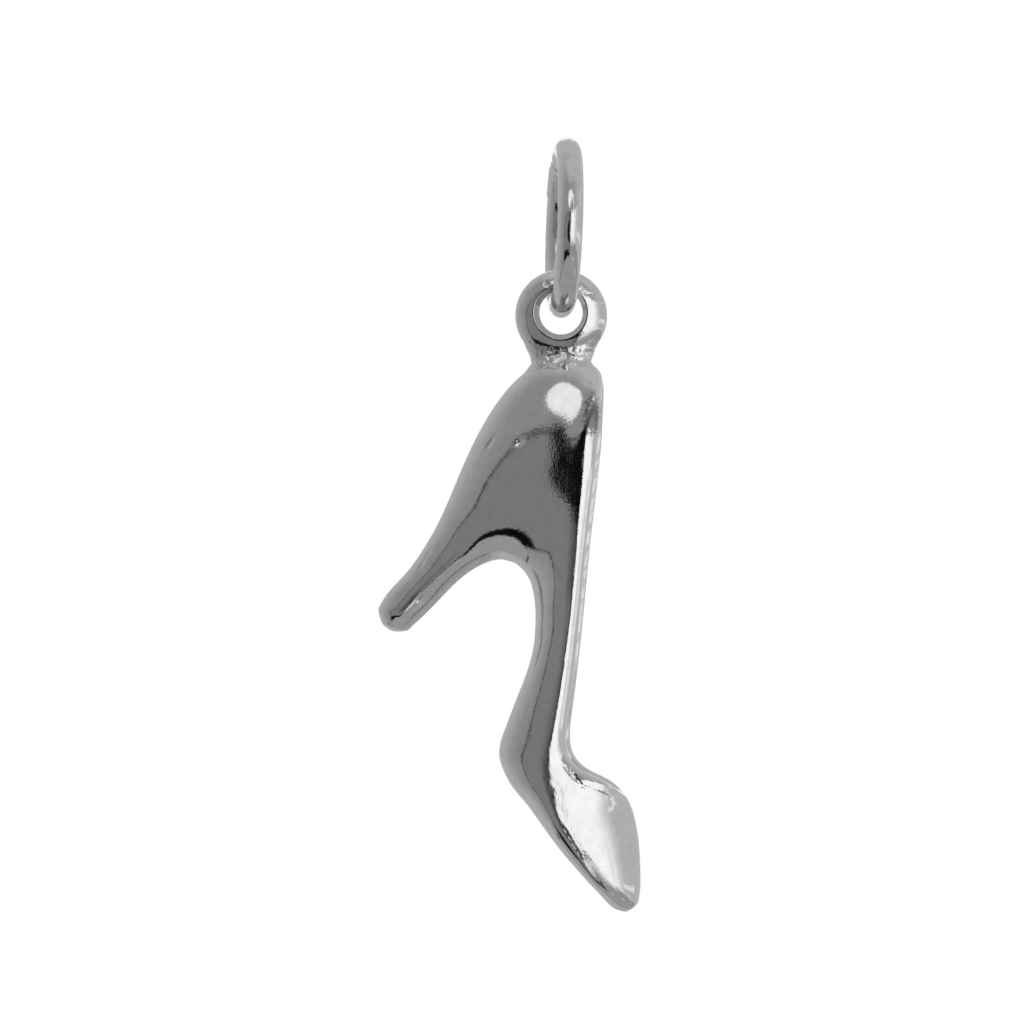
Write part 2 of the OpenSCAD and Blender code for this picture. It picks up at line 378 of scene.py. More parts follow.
card("round_lamp", [
    (-4, 48), (-20, 45), (-28, 40), (-28, 35), (-22, 29), (-14, 25), (-8, 25), (-1, 29),
    (13, 35), (23, 39), (22, 44), (12, 47),
], LAMP_WHITE, far=440 * MM)

# %% [markdown]
# ## The shoe casting
#
# The real shoe was carved in wax, cast in silver in one piece and polished until
# every edge had gone soft. It could be pulled from a cube and smoothed with
# Subdivision Surface, as most shoes are in Blender. But polished metal shows every
# change of slope, and a subdivided cube changes slope wherever its faces differ in
# size. So this one is made as a boat is: an outline, slices across it, and one
# skin over the slices.
#
# ### Its outline
#
# Two lines run side by side from the heel's tip, round the arch and down to the
# toe: the underside, and the outside with the foot opening. Each pair of points is
# a station, numbered from the heel's tip. The points are shares of the shoe's
# width and length, so that the shoe follows its size in the frame.

# %% Its outline
UNDER_SHARES = [
    (-0.610, 0.4995), (-0.583, 0.496), (-0.558, 0.485), (-0.523, 0.470), (-0.461, 0.440),
    (-0.400, 0.411), (-0.344, 0.390), (-0.293, 0.377), (-0.254, 0.371), (-0.223, 0.370),
    (-0.198, 0.373), (-0.177, 0.376), (-0.160, 0.382), (-0.145, 0.389), (-0.131, 0.398),
    (-0.118, 0.409), (-0.109, 0.423), (-0.102, 0.440), (-0.098, 0.458), (-0.097, 0.478),
    (-0.098, 0.500), (-0.104, 0.524), (-0.116, 0.550), (-0.134, 0.577), (-0.157, 0.605),
    (-0.183, 0.636), (-0.208, 0.667), (-0.230, 0.697), (-0.234, 0.726), (-0.214, 0.754),
    (-0.182, 0.780), (-0.136, 0.806), (-0.091, 0.835), (-0.045, 0.865), (0.002, 0.894),
    (0.053, 0.922), (0.106, 0.950), (0.152, 0.973), (0.183, 0.989), (0.205, 0.997),
    (0.229, 1.001),
]
OUT_SHARES = [
    (-0.657, 0.496), (-0.685, 0.484), (-0.698, 0.463), (-0.689, 0.449), (-0.654, 0.425),
    (-0.593, 0.394), (-0.531, 0.354), (-0.471, 0.305), (-0.421, 0.253), (-0.371, 0.197),
    (-0.312, 0.139), (-0.232, 0.079), (-0.133, 0.031), (0.004, 0.000), (0.118, 0.018),
    (0.160, 0.052), (0.151, 0.126), (0.139, 0.192), (0.124, 0.254), (0.109, 0.317),
    (0.096, 0.375), (0.085, 0.431), (0.074, 0.485), (0.062, 0.537), (0.050, 0.586),
    (0.037, 0.632), (0.026, 0.672), (0.027, 0.703), (0.043, 0.725), (0.075, 0.742),
    (0.122, 0.755), (0.177, 0.766), (0.227, 0.781), (0.263, 0.808), (0.286, 0.846),
    (0.298, 0.886), (0.302, 0.924), (0.303, 0.953), (0.299, 0.974), (0.288, 0.990),
    (0.256, 1.001),
]


def placed(share):
    """The point at its shares of the shoe's width and length."""
    return Vector((hang_x + share[0] * shoe_spread, 0, crown_z - share[1] * shoe_length))


def on_curve(points, place):
    """The point of a smooth curve through the points, at a station number."""
    i = min(int(place), len(points) - 2)
    t = place - i
    a, b, c, d = (points[min(max(i + n, 0), len(points) - 1)] for n in (-1, 0, 1, 2))
    bend = t * (c - a) + t ** 2 * (2 * a - 5 * b + 4 * c - d) + t ** 3 * (3 * b - a - 3 * c + d)
    return b + bend / 2


under_line = [placed(s) for s in UNDER_SHARES]
out_line = [placed(s) for s in OUT_SHARES]
print("stations:", len(under_line), "from heel to toe")

# %% [markdown]
# ### Its widths and its roundness
#
# The side view hides the shoe's widths, but its reflections give them away: a band
# is broad where the skin is flat and thin where it is round. So each station has a
# width, a height at which it is widest, and a roundness below and above that.
# Blender's curves could carry them, but a short table is easier to tune. Between
# two rows a value is eased, so that no ridge runs across the shoe.

# %% Its widths and its roundness
# Station, and the width across the shoe in millimetres
WIDTHS = [
    (0, 0.26), (0.5, 0.6), (1, 0.84), (2.4, 1.12), (4, 1.15), (7, 1.4), (10, 2.0),
    (13, 2.45), (15.5, 2.6), (18, 2.6), (21, 2.45), (23, 2.45), (25, 2.55), (27, 2.7),
    (29, 2.84), (31, 2.9), (33, 2.81), (35, 2.5), (36, 2.26), (37, 2.0), (38, 1.7),
    (39, 1.3), (40, 0.56),
]
# Station, where the slice is widest, how round its underside and its outside are,
# and how steeply it draws in from its widest towards either
BOWS = [
    (0, 0.5, 1.0, 1.0, 0, 0), (3, 0.5, 1.0, 1.0, 0, 0), (6, 0.45, 1.0, 1.0, 0, 0),
    (9, 0.39, 0.9, 0.97, 0, 0), (12, 0.39, 0.86, 0.97, 0, 0), (14, 0.46, 0.82, 0.96, 0, 0),
    (16, 0.66, 0.76, 0.95, 0.02, 0), (18, 0.76, 0.7, 0.95, 0.06, 0),
    (20, 0.83, 0.64, 0.97, 0.11, 0), (22, 0.8, 0.6, 1.0, 0.14, 0),
    (24, 0.8, 0.58, 1.0, 0.15, 0), (26, 0.8, 0.58, 1.0, 0.15, 0),
    (27, 0.76, 0.6, 1.0, 0.15, 0.02), (28, 0.69, 0.62, 1.0, 0.15, 0.05),
    (29, 0.58, 0.66, 0.98, 0.15, 0.07), (30, 0.46, 0.7, 0.96, 0.13, 0.08),
    (31, 0.34, 0.77, 0.94, 0.1, 0.08), (32, 0.25, 0.84, 0.92, 0.05, 0.07),
    (33, 0.19, 0.88, 0.91, 0.02, 0.05), (35, 0.16, 0.9, 0.9, 0, 0.03),
    (36, 0.17, 0.9, 0.9, 0, 0), (37, 0.25, 0.9, 0.9, 0, 0), (38, 0.35, 0.9, 0.9, 0, 0),
    (40, 0.5, 0.9, 0.9, 0, 0),
]


def eased(table, place):
    """A table of rows (place, values...), eased between its rows."""
    last = len(table) - 1
    i = max(k for k in range(last) if place >= table[k][0] or k == 0)
    span = table[i + 1][0] - table[i][0]
    t = (place - table[i][0]) / span
    u = 1 - t

    def slope(k, n):
        if k in (0, last):
            return 0
        return (table[k + 1][n] - table[k - 1][n]) / (table[k + 1][0] - table[k - 1][0])

    return [
        table[i][n] * u * u * (1 + 2 * t) + slope(i, n) * span * u * u * t
        + table[i + 1][n] * t * t * (1 + 2 * u) - slope(i + 1, n) * span * t * t * u
        for n in range(1, len(table[0]))
    ]


widest_station, widest_width = max(WIDTHS, key=lambda row: row[1])
print("widest at station", widest_station, "with", widest_width, "mm")

# %% [markdown]
# ### Its slices
#
# Cut across, the real shoe is a rounded bar where it is closed, and a trough with a
# flat rim along the foot opening. Each slice is drawn as half a ring, from the
# middle of the underside up to the middle of the outside, once closed and once
# open. The two are mixed by how open the shoe is there, and the half is mirrored.
#
# The points are spread evenly along the ring. A fixed number for the wall and for
# the rim would be simpler, but then the columns of the skin crowd and part along
# the shoe, which the metal shows as ripples.

# %% The opening's place and its rim
OPEN_BACK, OPEN_THROAT = 15.1, 32.6
RIM_WALL = 0.3 * MM
RIM_CREST = 0.05 * MM
RIM_SPREAD = 0.72


def open_share(place):
    """How open the shoe is: 0 where it is closed, 1 along the opening."""
    opens = soft_step((place - OPEN_BACK + 1.5) / 3.2)
    return opens * soft_step((OPEN_THROAT + 1 - place) / 3)


def bowed(away, bow):
    """How wide a rounded form stays at a share of its height."""
    return (1 - away ** (2 / bow)) ** (bow / 2)


print("the opening runs from station", OPEN_BACK, "to", OPEN_THROAT)

# %% Its slices
HALF_POINTS = 24
AROUND = 2 * HALF_POINTS
UNDER_DRAWN, WALL_DRAWN, TOP_DRAWN = 81, 51, 30


def slice_ring(place):
    """A slice as a ring of evenly spaced points, from the middle of the underside round."""
    under, out = on_curve(under_line, place), on_curve(out_line, place)
    span = (out - under).length
    half_w = eased(WIDTHS, place)[0] * MM / 2
    widest, under_bow, out_bow, under_lean, out_lean = eased(BOWS, place)
    under_fall = under_lean * widest * span
    out_fall = out_lean * (1 - widest) * span
    opened = open_share(place)
    top = 1 - RIM_CREST / span
    edge = RIM_SPREAD * half_w + RIM_WALL / 2
    turn = np.linspace(0, math.pi / 2, UNDER_DRAWN)

    # The underside, up to where the slice is widest
    away = np.cos(turn)
    under_y = (half_w - under_fall * away ** 2) * bowed(away, under_bow)
    under_t = widest * (1 - away)

    # The outside, once closed and once with a wall and a flat top
    away = np.sin(turn)
    closed_y = (half_w - out_fall * away) * bowed(away, out_bow)
    closed_t = mix(widest, 1, away)
    away = np.sin(np.linspace(0, math.pi / 2, WALL_DRAWN))
    wall_y = mix(edge, half_w - out_fall * away, bowed(away, out_bow))
    wall_t = mix(widest, top, away)
    open_y = np.concatenate([wall_y, np.linspace(edge, 0, TOP_DRAWN + 1)[1:]])
    open_t = np.concatenate([wall_t, np.full(TOP_DRAWN, top)])

    # Both in one line, measured along it and cut into equal lengths
    y = np.concatenate([under_y, mix(closed_y, open_y, opened)[1:]])
    t = np.concatenate([under_t, mix(closed_t, open_t, opened)[1:]])
    run = np.concatenate([[0], np.cumsum(np.hypot(np.diff(y), np.diff(t) * span))])
    even = np.linspace(0, run[-1], HALF_POINTS + 1)
    half = list(zip(np.interp(even, run, y).tolist(), np.interp(even, run, t).tolist()))
    ring = half + [(-y, t) for y, t in half[-2:0:-1]]
    return [under.lerp(out, t) + Vector((0, -y, 0)) for y, t in ring]


places = [0, 0.5] + list(range(1, 41))
slices = np.array([slice_ring(place) for place in places])
print("slices:", slices.shape[0], "of", slices.shape[1], "points")

# %% [markdown]
# ### A smooth inside for the arch
#
# Where the heel turns over into the counter, the slices fan out, and inside the
# arch they lie so close that small differences between them show as creases. So
# each point on their sides is moved a little towards the middle of its neighbours,
# three times over. Smoothing the finished mesh would do this too, but it would also
# shrink the thin heel.

# %% A smooth inside for the arch
ARCH_SLICES = range(10, 21)
SMOOTH_ROUNDS = 3

for _ in range(SMOOTH_ROUNDS):
    met = (slices[:-2] + slices[2:]) / 2 - slices[1:-1]
    for k in ARCH_SLICES:
        for i in range(1, AROUND):
            side = min(i, AROUND - i)
            on_side = soft_step(side / 4) * soft_step((17 - side) / 6)
            slices[k + 1][i] += met[k][i] * 0.5 * on_side
print("smoothed over", len(ARCH_SLICES), "slices")

# %% [markdown]
# ### Its closed skin
#
# The polished skin runs over the heel's tip and over the toe without a seam. A mesh
# of the slices alone would show their flat faces, and a fan of triangles at each
# end would pinch. So the grid of points is made a closed smooth surface: each row
# runs over one end, back along the opposite side and over the other end, and each
# column runs round the shoe. Then many finer points are read from that surface.

# %% A smooth surface through a grid
FIT_ROUNDS = 16


def control_grid(grid, axis):
    """Control points of a closed cubic spline that passes through the grid's points."""
    control = grid.copy()
    for _ in range(FIT_ROUNDS):
        met = (np.roll(control, 1, axis) + 4 * control + np.roll(control, -1, axis)) / 6
        control += grid - met
    return control


def fine_grid(control, axis, steps):
    """Points of the spline, so many to each span."""
    rows = []
    for t in np.arange(steps) / steps:
        weights = [
            (1 - t) ** 3, 3 * t ** 3 - 6 * t ** 2 + 4,
            1 + 3 * t + 3 * t ** 2 - 3 * t ** 3, t ** 3,
        ]
        rows.append(sum(w * np.roll(control, 1 - n, axis) for n, w in enumerate(weights)) / 6)
    shape = list(control.shape)
    shape[axis] *= steps
    return np.stack(rows, axis + 1).reshape(shape)


# %% Its closed skin
POLE_RISE = 0.022 * MM
POLE_PLACES = (-0.3, 40.3)
STEPS_ALONG, STEPS_AROUND = 8, 5


def pole(first, second):
    """The last point of the skin, just beyond the middle of its last slice."""
    way = first.mean(axis=0) - second.mean(axis=0)
    return first.mean(axis=0) + POLE_RISE * way / np.linalg.norm(way)


tip, toe = pole(slices[0], slices[2]), pole(slices[-1], slices[-2])
back = np.roll(slices, AROUND // 2, axis=1)[::-1]
loop = np.concatenate([
    np.tile(tip, (1, AROUND, 1)), slices, np.tile(toe, (1, AROUND, 1)), back,
])
control = control_grid(control_grid(loop, 0), 1)
skin = fine_grid(fine_grid(control, 0, STEPS_ALONG), 1, STEPS_AROUND)
skin = skin[:(len(places) + 1) * STEPS_ALONG + 1]
fine_places = np.interp(
    np.arange(len(skin)) / STEPS_ALONG,
    range(len(places) + 2), [POLE_PLACES[0]] + places + [POLE_PLACES[1]],
).tolist()
print("skin points:", skin.shape[0], "by", skin.shape[1])

# %% [markdown]
# ### Its opening
#
# Where the foot goes in, a charm has no real hollow but a shallow bowl, with a rim
# that the polishing has rounded. A Boolean could cut it, but with a hard edge. Here
# the points of the skin inside the opening's outline are sunk towards the
# underside, deeper the farther in they are, and a low crest is raised outside it.

# %% Its opening's outline
BACK_ROUND, THROAT_ROUND = 1.4, 3
EDGE_POINTS = 400


def rounded_end(t):
    """A quarter of a circle, from 0 up to 1."""
    t = min(max(t, 0), 1)
    return math.sqrt(t * (2 - t))


def inner_half(place):
    """Half the width between the rims, as if the opening had no ends."""
    return RIM_SPREAD * eased(WIDTHS, place)[0] * MM / 2 - RIM_WALL / 2


def opening_half(place):
    """Half the opening's width inside its rim."""
    back_end = rounded_end((place - OPEN_BACK) / BACK_ROUND)
    return back_end * rounded_end((OPEN_THROAT - place) / THROAT_ROUND) * inner_half(place)


middle_column = AROUND // 2 * STEPS_AROUND
steps_down = np.linalg.norm(np.diff(skin[:, middle_column], axis=0), axis=1)
run = np.concatenate([[0], np.cumsum(steps_down)])
edge_places = np.linspace(OPEN_BACK, OPEN_THROAT, EDGE_POINTS).tolist()
edge_run = np.interp(edge_places, fine_places, run)
edge_half = np.array([opening_half(place) for place in edge_places])
print("the opening is", round(2 * edge_half.max() / MM, 2), "mm wide")

# %% Its bowl and its rim
INSOLE_DEPTH = 0.27
BOWL_ROUND = 2.6


def sunk(place, away):
    """How far the bowl is sunk, as a share of the way to the underside."""
    share = 1 - min(away / inner_half(place), 1)
    depth = INSOLE_DEPTH * (1 - share ** BOWL_ROUND) ** 0.5
    depth *= soft_step(0.35 + away / RIM_WALL)
    return depth * soft_step((OPEN_THROAT - place + 0.3) / 2.5)


def raised(place, away):
    """How high the rim's crest stands."""
    crest = RIM_CREST * math.sin(math.pi * away / RIM_WALL)
    throat_end = soft_step((OPEN_THROAT - place) / 3)
    return crest * throat_end * soft_step((place - OPEN_BACK + 0.5) / 1.5)


top_span = HALF_POINTS // 2 * STEPS_AROUND
sunk_points = 0
for k, place in enumerate(fine_places):
    if not OPEN_BACK - 2 < place < OPEN_THROAT + 2:
        continue
    way = np.array(on_curve(under_line, place) - on_curve(out_line, place))
    for i in range(middle_column - top_span, middle_column + top_span + 1):
        y = abs(skin[k][i][1])
        away = np.hypot(edge_run - run[k], edge_half - y).min()
        if OPEN_BACK < place < OPEN_THROAT and y < opening_half(place):
            skin[k][i] += way * sunk(place, away)
            sunk_points += 1
        elif away < RIM_WALL:
            skin[k][i] -= way / np.linalg.norm(way) * raised(place, away)
print("points sunk for the opening:", sunk_points)

# %% [markdown]
# ### Its marks
#
# A worn charm is never quite smooth. This one has a round crater and a slash on
# its counter, nicks on the heel and a line across the vamp. A bump map could fake
# them, but a mark in the mesh also breaks the reflections that cross it. So each
# is pressed into the points that face the camera, along a line of pixels. A ragged
# mark is pressed unevenly, by chance, and the seed keeps it the same.

# %% A tool for marks
chance = np.random.default_rng(7)


def press(points, line, width, depth, ragged=0):
    """Presses a line of pixels into the points: width in pixels, depth in millimetres."""
    px = (points @ np.array(to_right)) / PIXEL + HANG_PIXEL[0]
    py = HANG_PIXEL[1] - points[..., 2] / PIXEL
    gap = np.full(px.shape, 1e9)
    for (x0, y0), (x1, y1) in zip(line, line[1:] or line):
        dx, dy = x1 - x0, y1 - y0
        t = np.clip(((px - x0) * dx + (py - y0) * dy) / max(dx * dx + dy * dy, 1e-9), 0, 1)
        gap = np.minimum(gap, np.hypot(px - x0 - t * dx, py - y0 - t * dy))
    share = np.clip(1 - gap / width, 0, 1)
    share = share * share * (3 - 2 * share) * (points @ np.array(to_camera) > 0)
    if ragged:
        share = share * (1 - ragged * chance.random(px.shape))
    points -= share[..., None] * depth * MM * np.array(to_camera)


# %% Its marks
CRATER = [(520, 442)]
SLASH = [(487, 449), (493, 438)]
HEEL_SCRATCH = [(419, 569), (425, 559), (431, 549)]
HEEL_NICK = [(418, 600), (421, 596), (425, 601), (421, 603)]
THROAT_LINE = [
    (570, 767), (574, 775), (580, 783), (590, 788), (600, 792), (610, 796), (620, 798),
]
THROAT_END = [(605, 787), (618, 795)]
TOE_EDGE = [(613, 800), (620, 813), (625, 832), (628, 848)]
TOE_SCRATCH = [(608, 842), (614, 872), (619, 901)]
VAMP_SCRATCH = [(561, 822), (570, 838), (580, 855)]

unmarked = skin.copy()
press(skin, CRATER, 5, 0.08)
press(skin, SLASH, 2.8, 0.06, ragged=0.6)
press(skin, HEEL_SCRATCH, 2.4, 0.03, ragged=0.8)
press(skin, HEEL_NICK, 2.4, 0.018, ragged=0.7)
press(skin, THROAT_LINE, 3.2, 0.02, ragged=1)
press(skin, THROAT_END, 2.4, 0.014, ragged=1)
press(skin, TOE_EDGE, 2.8, 0.012, ragged=1)
press(skin, TOE_SCRATCH, 2.4, 0.005, ragged=1)
press(skin, VAMP_SCRATCH, 2.4, 0.008, ragged=1)
print("the deepest mark is", round(np.linalg.norm(skin - unmarked, axis=2).max() / MM, 3), "mm")

# %% [markdown]
# ### Its mesh
#
# The skin is a grid of points, so a flat grid with as many rows and columns is
# made, and each of its vertices goes to its point. The first and last columns
# meet, and each end row falls on one point, so the doubles are merged and the skin
# closes. Then its faces are turned outwards. One helper makes the piece of it, on
# its body and in place of its CAD solid, and serves every piece below.

# %% Its mesh
def add_piece(name, bm, body, node):
    """A finished bmesh as a piece that rides on a body and stands for a CAD node."""
    open_edges = sum(1 for e in bm.edges if len(e.link_faces) != 2)
    print(name, "has", len(bm.faces), "faces and", open_edges, "open edges")
    made = new_object(name, bm)
    made.data.shade_smooth()
    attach(made, body)
    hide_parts(node)
    return made


ROWS, COLUMNS = skin.shape[0] - 1, skin.shape[1]
bm = bmesh.new()
bmesh.ops.create_grid(bm, x_segments=COLUMNS, y_segments=ROWS, size=1)
for v in bm.verts:
    i = round((v.co.x + 1) / 2 * COLUMNS) % COLUMNS
    k = round((v.co.y + 1) / 2 * ROWS)
    v.co = skin[k][i]
bmesh.ops.remove_doubles(bm, verts=bm.verts, dist=0.0001 * MM)
bmesh.ops.recalc_face_normals(bm, faces=bm.faces)
shoe = add_piece("shoe", bm, "charm", "shoe_casting")

# %% [markdown]
# ## The hanging eye
#
# The eye is a small round ring with a countersunk bore, through which the jump
# ring's wire passes. The real one was cast, drilled, and filed flat at the bottom
# to sit on the shoe. A torus would be the quickest start, but this ring isn't
# round in its section: it has a straight bore, a cone at each mouth, a small lip
# and a domed face. So half a section is drawn, mirrored and spun about the bore.
# Each of its points is a radius from the bore's axis and a place along it.

# %% The eye's section
eye_x = (eye_low.x + eye_high.x) / 2
eye_r = (eye_high.x - eye_low.x) / 2
eye_z = eye_high.z - eye_r
eye_half = eye_high.y
BORE_R, MOUTH_R, LAND = 0.6 * MM, 0.72 * MM, 0.11 * MM
LIP = 0.03 * MM
FACE_TILT = 8
LAND_STEPS, MOUTH_STEPS, LIP_STEPS, FACE_STEPS = 3, 12, 5, 30

profile = [(BORE_R, LAND * k / LAND_STEPS) for k in range(LAND_STEPS + 1)]
for k in range(1, MOUTH_STEPS + 1):
    t = k / MOUTH_STEPS
    profile.append((mix(BORE_R, MOUTH_R, t), mix(LAND, eye_half - LIP, t)))
for k in range(1, LIP_STEPS + 1):
    a = math.radians(90 * k / LIP_STEPS)
    profile.append((MOUTH_R + LIP * (1 - math.cos(a)), eye_half - LIP * (1 - math.sin(a))))
face_r, tilt = MOUTH_R + LIP, math.radians(FACE_TILT)
for k in range(1, FACE_STEPS + 1):
    a = math.radians(mix(FACE_TILT, 90, k / FACE_STEPS))
    t = (math.sin(a) - math.sin(tilt)) / (1 - math.sin(tilt))
    profile.append((mix(face_r, eye_r, t), eye_half * math.cos(a) / math.cos(tilt)))
profile += [(r, -y) for r, y in profile[-2:0:-1]]
print("the eye's section has", len(profile), "points")

# %% [markdown]
# ### Its turning, marks and seat
#
# The spin merges its last step with its first, so the ring is closed. The bore was
# drilled a little high, so the points near it move up and those at the rim stay.
# The file left a few nicks, which are pressed in as on the shoe. Last, a plane
# cuts the bottom flat, and the cut is filled.

# %% The eye, turned, marked and filed
BORE_RISE = 0.08 * MM
EYE_STEPS = 320
# Line of pixels, width, depth, and how ragged it is
EYE_MARKS = [
    ([(547, 284)], 3.8, 0.08, 0),
    ([(529, 291), (531, 295)], 2.5, 0.03, 0.5),
    ([(522, 305)], 1.6, 0.015, 0),
    ([(520, 318)], 1.6, 0.015, 0),
    ([(578, 289), (586, 294), (594, 295)], 3, 0.02, 1),
]

bm = bmesh.new()
ring = bmesh.ops.create_circle(bm, segments=len(profile), radius=1)["verts"]
for v, (r, y) in zip(ring, profile):
    v.co = (r, y, 0)
bmesh.ops.spin(
    bm, geom=bm.verts[:] + bm.edges[:], cent=(0, 0, 0), axis=(0, 1, 0),
    angle=math.radians(360), steps=EYE_STEPS, use_merge=True,
)
for v in bm.verts:
    r = math.hypot(v.co.x, v.co.z)
    at_bore = 1 - soft_step((r - MOUTH_R) / (eye_r - MOUTH_R))
    v.co += Vector((eye_x, 0, eye_z + BORE_RISE * at_bore))
eye_points = np.array([v.co for v in bm.verts])
for mark in EYE_MARKS:
    press(eye_points, *mark)
for v, p in zip(bm.verts, eye_points):
    v.co = p
cut = bmesh.ops.bisect_plane(
    bm, geom=bm.verts[:] + bm.edges[:] + bm.faces[:],
    plane_co=(0, 0, eye_low.z), plane_no=(0, 0, -1), clear_outer=True,
)["geom_cut"]
bmesh.ops.contextual_create(bm, geom=[g for g in cut if isinstance(g, bmesh.types.BMEdge)])
bmesh.ops.recalc_face_normals(bm, faces=bm.faces)
eye = add_piece("eye", bm, "charm", "hanging_eye")

# %% [markdown]
# ## The solder
#
# Solder runs into the corner between the eye and the counter and freezes there as
# a rough collar, narrow at its waist and spread over both pieces. A Remesh could
# blend the pieces, but it would round the crisp eye as well. So the collar is a
# piece of its own, drawn as lines that leave the eye's skin, draw in to the waist
# and run out on the shoe's skin.
#
# ### A line of the collar
#
# A line starts and ends at the nearest place on each skin, a hair below it, and
# leaves along the skin, so that the collar has no step. At the sides the corner is
# deep and the collar is a plain fillet. In front it draws in to the waist. A noise
# gives it the lumps of cooled solder, and fades out at both ends.

# %% The two skins and the collar's heights
bpy.context.view_layer.update()
depsgraph = bpy.context.evaluated_depsgraph_get()
shoe_skin = BVHTree.FromObject(shoe, depsgraph)
eye_skin = BVHTree.FromObject(eye, depsgraph)
waist_z = at_pixel(0, 361.5).z
top_side, top_front = at_pixel(0, 337).z, at_pixel(0, 347).z
low_side, low_front = at_pixel(0, 375).z, at_pixel(0, 380).z
print("the collar's waist is at", round(waist_z / MM, 2), "mm")


def settle(skin, point, sink):
    """The nearest place on a skin, sunk a little, and the way the skin faces there."""
    place, normal, _, _ = skin.find_nearest(point)
    return place - normal * sink, normal


def sweep(a, leave, b, arrive, t):
    """A curve from a to b that leaves one way and arrives another."""
    return (
        a * (1 + 2 * t) * (1 - t) ** 2 + leave * t * (1 - t) ** 2
        + b * t * t * (3 - 2 * t) - arrive * t * t * (1 - t)
    )


# %% A line of the collar
AROUND_NECK, NECK_RINGS = 180, 44
WAIST_W, WAIST_D = 0.828 * MM, 0.42 * MM
# In millimetres: how far beside the waist a line starts, how deep its ends are
# sunk, and the size and height of its lumps
SPREAD_OUT, SINK, LUMP_SIZE, LUMP_HEIGHT = 0.28, 0.01, 0.16, 0.03
DOWN = Vector((0, 0, -1))


def neck_line(angle):
    """A line of the neck: from the eye, in to the waist and out over the counter."""
    side = abs(math.cos(angle)) ** 1.5
    way = Vector((math.cos(angle), 0.6 * math.sin(angle), 0)).normalized()
    out = Vector((WAIST_W * math.cos(angle), WAIST_D * math.sin(angle), 0))
    waist = Vector((hang_x, 0, waist_z)) + out
    beside = waist + way * SPREAD_OUT * MM
    above = Vector((0, 0, mix(top_front, top_side, side) - waist_z))
    below = Vector((0, 0, mix(low_front, low_side, side) - waist_z))
    start, start_faces = settle(eye_skin, beside + above, SINK * MM)
    end, end_faces = settle(shoe_skin, beside + below, SINK * MM)
    leave = (DOWN - start_faces * start_faces.dot(DOWN)).normalized()
    arrive = ((end - start) - end_faces * end_faces.dot(end - start)).normalized()
    first, second, reach = (waist - start).length, (end - waist).length, (end - start).length
    line = []
    for k in range(NECK_RINGS + 1):
        t = 2 * k / NECK_RINGS
        if t <= 1:
            p = sweep(start, leave * first, waist, DOWN * 0.5 * first, t)
        else:
            p = sweep(waist, DOWN * 0.5 * second, end, arrive * second, t - 1)
        fillet = sweep(start, leave * reach, end, arrive * reach, t / 2)
        p = fillet.lerp(p, side)
        lump = noise.fractal(p / (LUMP_SIZE * MM), 0.7, 2.2, 3)
        line.append(p + way * lump * LUMP_HEIGHT * MM * math.sin(math.pi * k / NECK_RINGS))
    return line


lines = np.array([neck_line(2 * math.pi * i / AROUND_NECK) for i in range(AROUND_NECK)])
print("the collar has", lines.shape[0], "lines of", lines.shape[1], "points")

# %% [markdown]
# ### Its skin
#
# The lines become a skin one ring at a time. A ring of vertices is extruded, and
# the new ring is set on the next point of every line. Both ends are filled where
# they lie hidden, in the eye and in the shoe. The real collar has a dark notch in
# its middle, so one is pressed in first.

# %% The solder's skin
NOTCH = [(566.5, 355), (565, 362), (565.5, 372)]


def pull(bm, ring, places):
    """Extrudes a ring of vertices and sets the new ring on its places."""
    edges = [bm.edges.get((ring[i - 1], ring[i])) for i in range(len(ring))]
    made = bmesh.ops.extrude_edge_only(bm, edges=edges)["geom"]
    fresh = {g for g in made if isinstance(g, bmesh.types.BMVert)}
    after = [
        next(e.other_vert(v) for e in v.link_edges if e.other_vert(v) in fresh)
        for v in ring
    ]
    for v, place in zip(after, places):
        v.co = place
    return after


press(lines, NOTCH, 3.6, 0.07, ragged=0.3)
bm = bmesh.new()
ring = bmesh.ops.create_circle(bm, segments=AROUND_NECK, radius=1)["verts"]
for v, line in zip(ring, lines):
    v.co = line[0]
neck = [ring]
for k in range(1, NECK_RINGS + 1):
    neck.append(pull(bm, neck[-1], [line[k] for line in lines]))
for ring in (neck[0], neck[-1]):
    edges = [bm.edges.get((ring[i - 1], ring[i])) for i in range(AROUND_NECK)]
    bmesh.ops.contextual_create(bm, geom=edges)
bmesh.ops.recalc_face_normals(bm, faces=bm.faces)
solder = add_piece("solder", bm, "charm", "solder_joint")

# %% [markdown]
# ## The jump ring
#
# A jump ring is round wire wound on a rod, cut off turn by turn and closed with
# pliers. It isn't soldered, so a fine cut stays, and the pliers flatten the wire a
# little beside it. A torus has no cut, so the wire is spun here: a circle is taken
# round the ring's axis by a little less than a full turn, and its two ends are
# filled. Then the wire is spread where the pliers gripped it. The ring is turned
# and leans as in the photograph, not quite square to the eye.

# %% The jump ring
wire_d = 0.7 * MM
ring_outer_d = 5 * MM
ring_r = (ring_outer_d - wire_d) / 2
ring_twist = math.radians(8)
ring_lean = math.radians(2.2)
seam = math.radians(149)
seam_gap = 0.05 * MM / ring_r
RING_STEPS, WIRE_POINTS = 360, 48
GRIP_FROM, GRIP_TO, GRIP_SPREAD = 114, 142, 0.08
END_FROM, END_TO, END_PINCH = 144, 155, 0.05

ring_turn = Matrix.Rotation(ring_lean, 3, "Y") @ Matrix.Rotation(ring_twist, 3, "Z")
ring_axis = ring_turn @ Vector((1, 0, 0))
start = seam + seam_gap / 2
start_way = ring_turn @ Vector((0, math.sin(start), -math.cos(start)))

